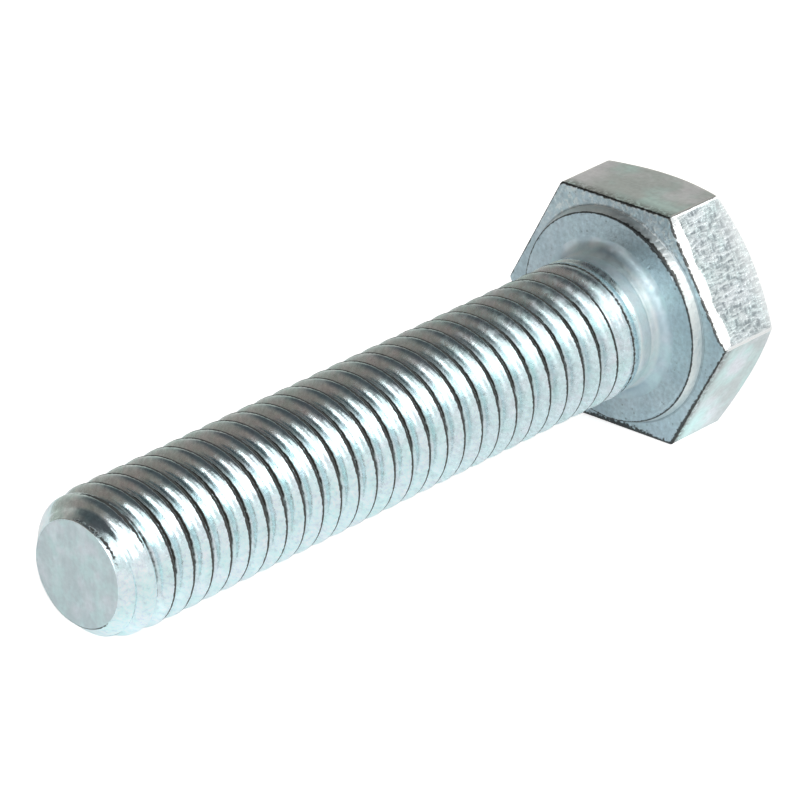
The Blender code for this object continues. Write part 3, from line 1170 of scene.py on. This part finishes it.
def make_camera(settings):
    """Camera at the chosen angle, looking at its target."""
    azimuth = settings.camera_azimuth
    backwards = direction(azimuth, settings.camera_elevation)
    right = Vector((math.cos(azimuth), math.sin(azimuth), 0))
    up = backwards.cross(right)
    turned_right = right * math.cos(settings.camera_roll) + up * math.sin(settings.camera_roll)
    turned_up = backwards.cross(turned_right)
    data = bpy.data.cameras.new("camera")
    data.lens = settings.camera_lens
    data.sensor_width = 36
    data.clip_start = 0.01
    data.clip_end = 20
    camera = add_object("camera", data)
    rotation = Matrix((turned_right, turned_up, backwards)).transposed()
    place = Vector(settings.camera_target) + backwards * settings.camera_distance
    camera.matrix_world = Matrix.Translation(place) @ rotation.to_4x4()
    bpy.context.scene.camera = camera


def make_world():
    """Dim room behind the bolt, paler in front of it, and plain white where the camera sees it."""
    world = bpy.data.worlds.new("surroundings")
    world.use_nodes = True
    tree = world.node_tree
    background = tree.nodes["Background"]
    coordinates = add_node(tree, "ShaderNodeTexCoord")
    split = add_node(tree, "ShaderNodeSeparateXYZ")
    feed(tree, split.inputs[0], coordinates.outputs["Generated"])
    front = spread(tree, split.outputs["Y"], 0.35, -0.35)
    head_side = spread(tree, split.outputs["X"], -0.85, 0.5)
    high = spread(tree, split.outputs["Z"], 0.45, 0.85)
    room = mix_colours(tree, head_side, BEHIND_POINT, BEHIND_HEAD)
    room = mix_colours(tree, front, room, IN_FRONT)
    room = mix_colours(tree, high, room, OVERHEAD)
    seen = add_node(tree, "ShaderNodeLightPath").outputs["Is Camera Ray"]
    feed(tree, background.inputs["Color"], mix_colours(tree, seen, room, (1, 1, 1, 1)))
    bpy.context.scene.world = world


def add_soft_light(name, angles, brightness, colour=(1, 1, 1)):
    """Soft light that faces the bolt, by azimuth, elevation, and width and height as seen from it."""
    azimuth, elevation, width, height = (math.radians(angle) for angle in angles)
    towards = direction(azimuth, elevation)
    data = bpy.data.lights.new(name, "AREA")
    data.shape = "RECTANGLE"
    data.size = 2 * LIGHT_DISTANCE * math.tan(width / 2)
    data.size_y = 2 * LIGHT_DISTANCE * math.tan(height / 2)
    data.energy = brightness * math.pi * data.size * data.size_y
    data.color = colour
    light = add_object(name, data)
    light.location = Vector((END_FACE / 2, 0, 0)) + towards * LIGHT_DISTANCE
    light.rotation_euler = towards.to_track_quat("Z", "Y").to_euler()


def make_lights():
    """Soft boxes in front of the bolt, behind the camera and beyond the bolt's point."""
    add_soft_light("front_box", (35, 38, 58, 22), 1.4, (1.0, 0.99, 0.97))
    add_soft_light("middle_box", (-20, 46, 70, 38), 1.05)
    add_soft_light("point_box", (-78, 14, 40, 30), 2.3)


class HEXBOLT_OT_stage(bpy.types.Operator):
    """Make the floor, the light and the camera"""

    bl_idname = "hexbolt.stage"
    bl_label = "Stage"

    def execute(self, context):
        settings = context.scene.hex_bolt_stage
        make_floor(settings)
        make_camera(settings)
        make_world()
        make_lights()
        context.scene.view_settings.view_transform = "Standard"
        return {"FINISHED"}


class HEXBOLT_PT_panel(bpy.types.Panel):
    """Panel in the 3D view's sidebar"""

    bl_idname = "HEXBOLT_PT_panel"
    bl_label = "Hexagon Bolt"
    bl_space_type = "VIEW_3D"
    bl_region_type = "UI"
    bl_category = "Hexagon Bolt"

    def draw(self, context):
        for operator in OPERATORS:
            self.layout.operator(operator.bl_idname)


OPERATORS = (HEXBOLT_OT_bolt, HEXBOLT_OT_stage)
SETTINGS = {"hex_bolt_sizes": BoltSizes, "hex_bolt_finish": BoltFinish, "hex_bolt_stage": StageSettings}


def register():
    for item in (*SETTINGS.values(), *OPERATORS, HEXBOLT_PT_panel):
        bpy.utils.register_class(item)
    for name, group in SETTINGS.items():
        setattr(bpy.types.Scene, name, PointerProperty(type=group))


def unregister():
    for name in SETTINGS:
        delattr(bpy.types.Scene, name)
    for item in (HEXBOLT_PT_panel, *OPERATORS, *SETTINGS.values()):
        bpy.utils.unregister_class(item)


def main():
    register()
    bpy.ops.hexbolt.bolt()
    bpy.ops.hexbolt.stage()


if __name__ == "__main__":
    main()
